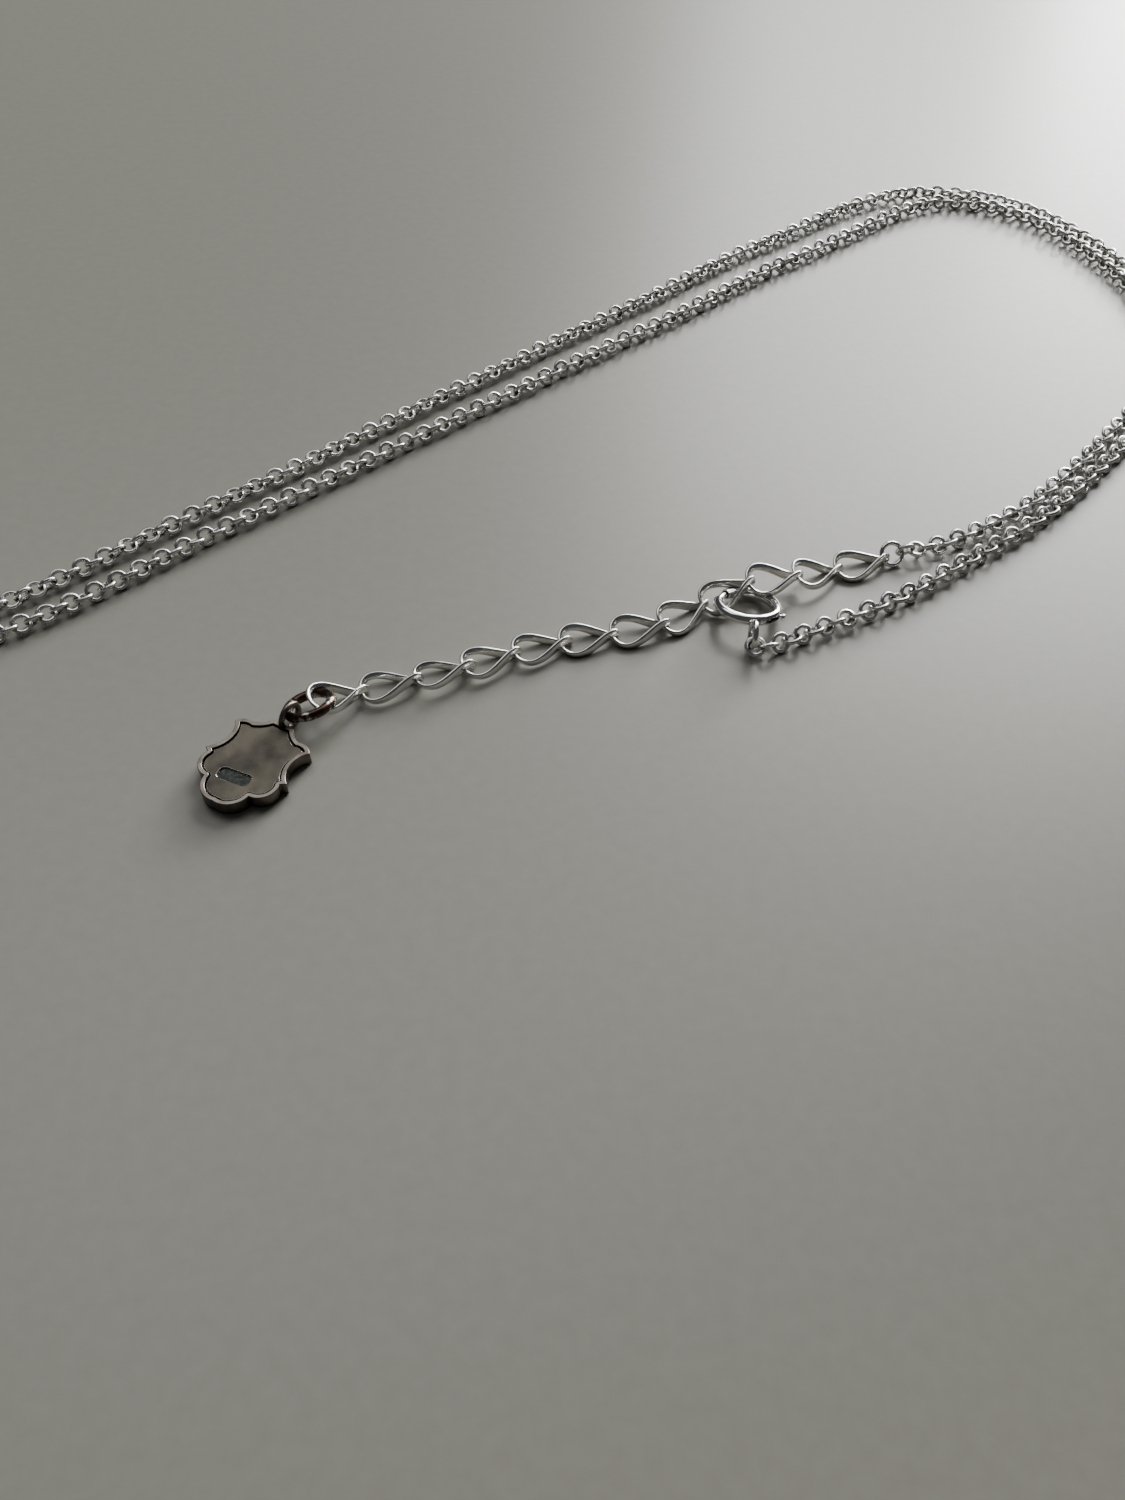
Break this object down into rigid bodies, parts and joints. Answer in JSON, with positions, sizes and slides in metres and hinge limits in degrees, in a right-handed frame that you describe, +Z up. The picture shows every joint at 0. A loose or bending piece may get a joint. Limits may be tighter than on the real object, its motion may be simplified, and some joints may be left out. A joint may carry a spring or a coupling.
{
  "type": "pendant necklace",
  "caption": "Fine round-link chain necklace laid down doubled, with a sprung ring clasp, a twisted-link size extender and a small flat hand tag on a ring.",
  "frame": {"origin": "centre of the laid-down necklace's footprint, on the surface that it rests on", "axes": "+Z up; +X along the long way of the doubled chain, towards the bend that both strands share; +Y from the clasp and tag side towards the far strands"},
  "size_m": [0.1347, 0.0998, 0.0029],
  "materials": {
    "chain_silver": "polished silver links, darkened in the gaps",
    "extender_silver": "polished silver ribbon-like wire",
    "clasp_silver": "bright polished silver tube",
    "tag_silver": "cast silver with a polished rim",
    "dark_plate": "satin blackened silver plate",
    "oxidised_silver": "oxidised silver, dark brown-black with worn highlights",
    "spring_steel": "plain spring wire"
  },
  "bodies": {
    "hooked_link": {"extender_link_09": "extender_silver"},
    "clasp": {"clasp_tube": "clasp_silver", "clasp_eye": "clasp_silver", "clasp_spring": "spring_steel"},
    "bolt": {"clasp_bolt": "clasp_silver", "clasp_trigger": "clasp_silver"},
    "link_08": {"extender_link_08": "extender_silver"},
    "link_07": {"extender_link_07": "extender_silver"},
    "link_06": {"extender_link_06": "extender_silver"},
    "link_05": {"extender_link_05": "extender_silver"},
    "link_04": {"extender_link_04": "extender_silver"},
    "link_03": {"extender_link_03": "extender_silver"},
    "link_02": {"extender_link_02": "extender_silver"},
    "link_01": {"extender_link_01": "extender_silver"},
    "jump_ring": {"tag_jump_ring": "oxidised_silver"},
    "tag": {"tag_body": "tag_silver", "tag_back_plate": "dark_plate", "tag_eye": "tag_silver"},
    "stretch_01": {"extender_link_10": "extender_silver", "outer_chain_01": "chain_silver"},
    "stretch_02": {"extender_link_11": "extender_silver", "outer_chain_02": "chain_silver"},
    "stretch_03": {"extender_link_12": "extender_silver", "outer_chain_03": "chain_silver"},
    "stretch_04": {"extender_end_ring": "chain_silver", "outer_chain_04": "chain_silver", "inner_chain_04": "chain_silver"},
    "stretch_05": {"outer_chain_05": "chain_silver", "inner_chain_05": "chain_silver"},
    "stretch_06": {"outer_chain_06": "chain_silver", "inner_chain_06": "chain_silver"},
    "stretch_07": {"outer_chain_07": "chain_silver", "inner_chain_07": "chain_silver"},
    "stretch_08": {"outer_chain_08": "chain_silver", "inner_chain_08": "chain_silver"},
    "stretch_09": {"outer_chain_09": "chain_silver", "inner_chain_09": "chain_silver"},
    "stretch_10": {"outer_chain_10": "chain_silver", "inner_chain_10": "chain_silver"},
    "stretch_11": {"outer_chain_11": "chain_silver", "inner_chain_11": "chain_silver"},
    "stretch_12": {"outer_chain_12": "chain_silver", "inner_chain_12": "chain_silver"},
    "stretch_13": {"outer_chain_13": "chain_silver", "inner_chain_13": "chain_silver"},
    "stretch_14": {"outer_chain_14": "chain_silver", "inner_chain_14": "chain_silver"},
    "stretch_15": {"outer_chain_15": "chain_silver", "inner_chain_15": "chain_silver"},
    "stretch_16": {"outer_chain_16": "chain_silver", "inner_chain_16": "chain_silver"},
    "stretch_17": {"outer_chain_17": "chain_silver", "inner_chain_17": "chain_silver"},
    "fold": {"chain_fold": "chain_silver"}
  },
  "joints": [
    {"name": "clasp_rock", "type": "hinge", "parent": "hooked_link", "child": "clasp", "pos_m": [0.01394, -0.02968, 0.00089], "axis": [-0.3693, 0.9279, 0.0515], "range_deg": [0, 20]},
    {"name": "bolt_slide", "type": "hinge", "parent": "clasp", "child": "bolt", "pos_m": [0.01498, -0.02804, 0.00118], "axis": [-0.0908, -0.2577, -0.9619], "range_deg": [0, 40], "stiffness_Nm_per_rad": 0.00002, "springref_deg": -5.73},
    {"name": "link_08_turn", "type": "hinge", "parent": "hooked_link", "child": "link_08", "pos_m": [0.01123, -0.02727, 0.00077], "axis": [-0.0189, -0.5347, 0.8448], "range_deg": [-25, 25]},
    {"name": "link_07_lift", "type": "hinge", "parent": "link_08", "child": "link_07", "pos_m": [0.00753, -0.02986, 0.00093], "axis": [-0.4595, 0.6903, 0.5589], "range_deg": [-35, 35]},
    {"name": "link_06_turn", "type": "hinge", "parent": "link_07", "child": "link_06", "pos_m": [0.00325, -0.03085, 0.0007], "axis": [-0.0567, 0.4528, -0.8898], "range_deg": [-25, 25]},
    {"name": "link_05_lift", "type": "hinge", "parent": "link_06", "child": "link_05", "pos_m": [-0.00116, -0.03187, 0.0007], "axis": [0.2022, -0.8758, -0.4384], "range_deg": [-35, 35]},
    {"name": "link_04_turn", "type": "hinge", "parent": "link_05", "child": "link_04", "pos_m": [-0.00503, -0.0332, 0.00084], "axis": [0.1372, -0.2971, 0.9449], "range_deg": [-25, 25]},
    {"name": "link_03_lift", "type": "hinge", "parent": "link_04", "child": "link_03", "pos_m": [-0.00919, -0.03497, 0.00092], "axis": [-0.3642, 0.8726, 0.3255], "range_deg": [-35, 35]},
    {"name": "link_02_turn", "type": "hinge", "parent": "link_03", "child": "link_02", "pos_m": [-0.01307, -0.0363, 0.00092], "axis": [-0.0509, 0.1479, -0.9877], "range_deg": [-25, 25]},
    {"name": "link_01_lift", "type": "hinge", "parent": "link_02", "child": "link_01", "pos_m": [-0.01743, -0.03747, 0.00068], "axis": [0.2627, -0.9248, -0.2753], "range_deg": [-35, 35]},
    {"name": "jump_ring_swing", "type": "hinge", "parent": "link_01", "child": "jump_ring", "pos_m": [-0.01956, -0.03919, 0.00173], "axis": [-0.3875, 0.8487, -0.36], "range_deg": [-25, 8]},
    {"name": "tag_swing", "type": "hinge", "parent": "jump_ring", "child": "tag", "pos_m": [-0.0228, -0.04094, 0.00144], "axis": [0.4487, -0.8155, 0.3654], "range_deg": [-20, 40]},
    {"name": "stretch_01_lift", "type": "hinge", "parent": "hooked_link", "child": "stretch_01", "pos_m": [0.01516, -0.02908, 0.00133], "axis": [-0.018, -0.9854, -0.1691], "range_deg": [0, 20]},
    {"name": "stretch_02_lift", "type": "hinge", "parent": "stretch_01", "child": "stretch_02", "pos_m": [0.02077, -0.02713, 0.00117], "axis": [-0.3966, 0.9059, 0.1485], "range_deg": [-40, 40]},
    {"name": "stretch_03_lift", "type": "hinge", "parent": "stretch_02", "child": "stretch_03", "pos_m": [0.02478, -0.02519, 0.0007], "axis": [0.4103, -0.9119, 0.0082], "range_deg": [-40, 40]},
    {"name": "stretch_04_lift", "type": "hinge", "parent": "stretch_03", "child": "stretch_04", "pos_m": [0.02928, -0.02311, 0.00078], "axis": [-0.6285, 0.7775, 0.0221], "range_deg": [-40, 40]},
    {"name": "stretch_05_lift", "type": "hinge", "parent": "stretch_04", "child": "stretch_05", "pos_m": [0.04372, -0.01414, 0.00072], "axis": [0.5681, -0.823, 0.0014], "range_deg": [-40, 40]},
    {"name": "stretch_06_lift", "type": "hinge", "parent": "stretch_05", "child": "stretch_06", "pos_m": [0.05536, -0.00202, 0.00072], "axis": [-0.5755, 0.8178, -0.0001], "range_deg": [-40, 40]},
    {"name": "stretch_07_lift", "type": "hinge", "parent": "stretch_06", "child": "stretch_07", "pos_m": [0.06426, 0.01145, 0.00072], "axis": [0.9421, -0.3353, 0], "range_deg": [-40, 40]},
    {"name": "stretch_08_lift", "type": "hinge", "parent": "stretch_07", "child": "stretch_08", "pos_m": [0.06483, 0.02752, 0.00072], "axis": [-0.9621, -0.2727, 0], "range_deg": [-40, 40]},
    {"name": "stretch_09_lift", "type": "hinge", "parent": "stretch_08", "child": "stretch_09", "pos_m": [0.05811, 0.04219, 0.00072], "axis": [0.6359, 0.7718, 0], "range_deg": [-40, 40]},
    {"name": "stretch_10_lift", "type": "hinge", "parent": "stretch_09", "child": "stretch_10", "pos_m": [0.04422, 0.0476, 0.00072], "axis": [0.2815, -0.9596, 0], "range_deg": [-40, 40]},
    {"name": "stretch_11_lift", "type": "hinge", "parent": "stretch_10", "child": "stretch_11", "pos_m": [0.03067, 0.03897, 0.00072], "axis": [-0.5458, 0.8379, 0], "range_deg": [-40, 40]},
    {"name": "stretch_12_lift", "type": "hinge", "parent": "stretch_11", "child": "stretch_12", "pos_m": [0.018, 0.02878, 0.00072], "axis": [0.7224, -0.6915, 0], "range_deg": [-40, 40]},
    {"name": "stretch_13_lift", "type": "hinge", "parent": "stretch_12", "child": "stretch_13", "pos_m": [0.00497, 0.01728, 0.00072], "axis": [-0.5377, 0.8431, 0], "range_deg": [-40, 40]},
    {"name": "stretch_14_lift", "type": "hinge", "parent": "stretch_13", "child": "stretch_14", "pos_m": [-0.00734, 0.00667, 0.00072], "axis": [0.7317, -0.6816, 0], "range_deg": [-40, 40]},
    {"name": "stretch_15_lift", "type": "hinge", "parent": "stretch_14", "child": "stretch_15", "pos_m": [-0.02009, -0.00431, 0.00072], "axis": [-0.7406, 0.6719, 0], "range_deg": [-40, 40]},
    {"name": "stretch_16_lift", "type": "hinge", "parent": "stretch_15", "child": "stretch_16", "pos_m": [-0.03288, -0.01523, 0.00072], "axis": [0.7453, -0.6667, 0], "range_deg": [-40, 40]},
    {"name": "stretch_17_lift", "type": "hinge", "parent": "stretch_16", "child": "stretch_17", "pos_m": [-0.04601, -0.02661, 0.00072], "axis": [-0.5044, 0.8635, 0], "range_deg": [-40, 40]},
    {"name": "fold_lift", "type": "hinge", "parent": "stretch_17", "child": "fold", "pos_m": [-0.06151, -0.03855, 0.00072], "axis": [0.7047, -0.7095, 0], "range_deg": [-40, 40]}
  ]
}
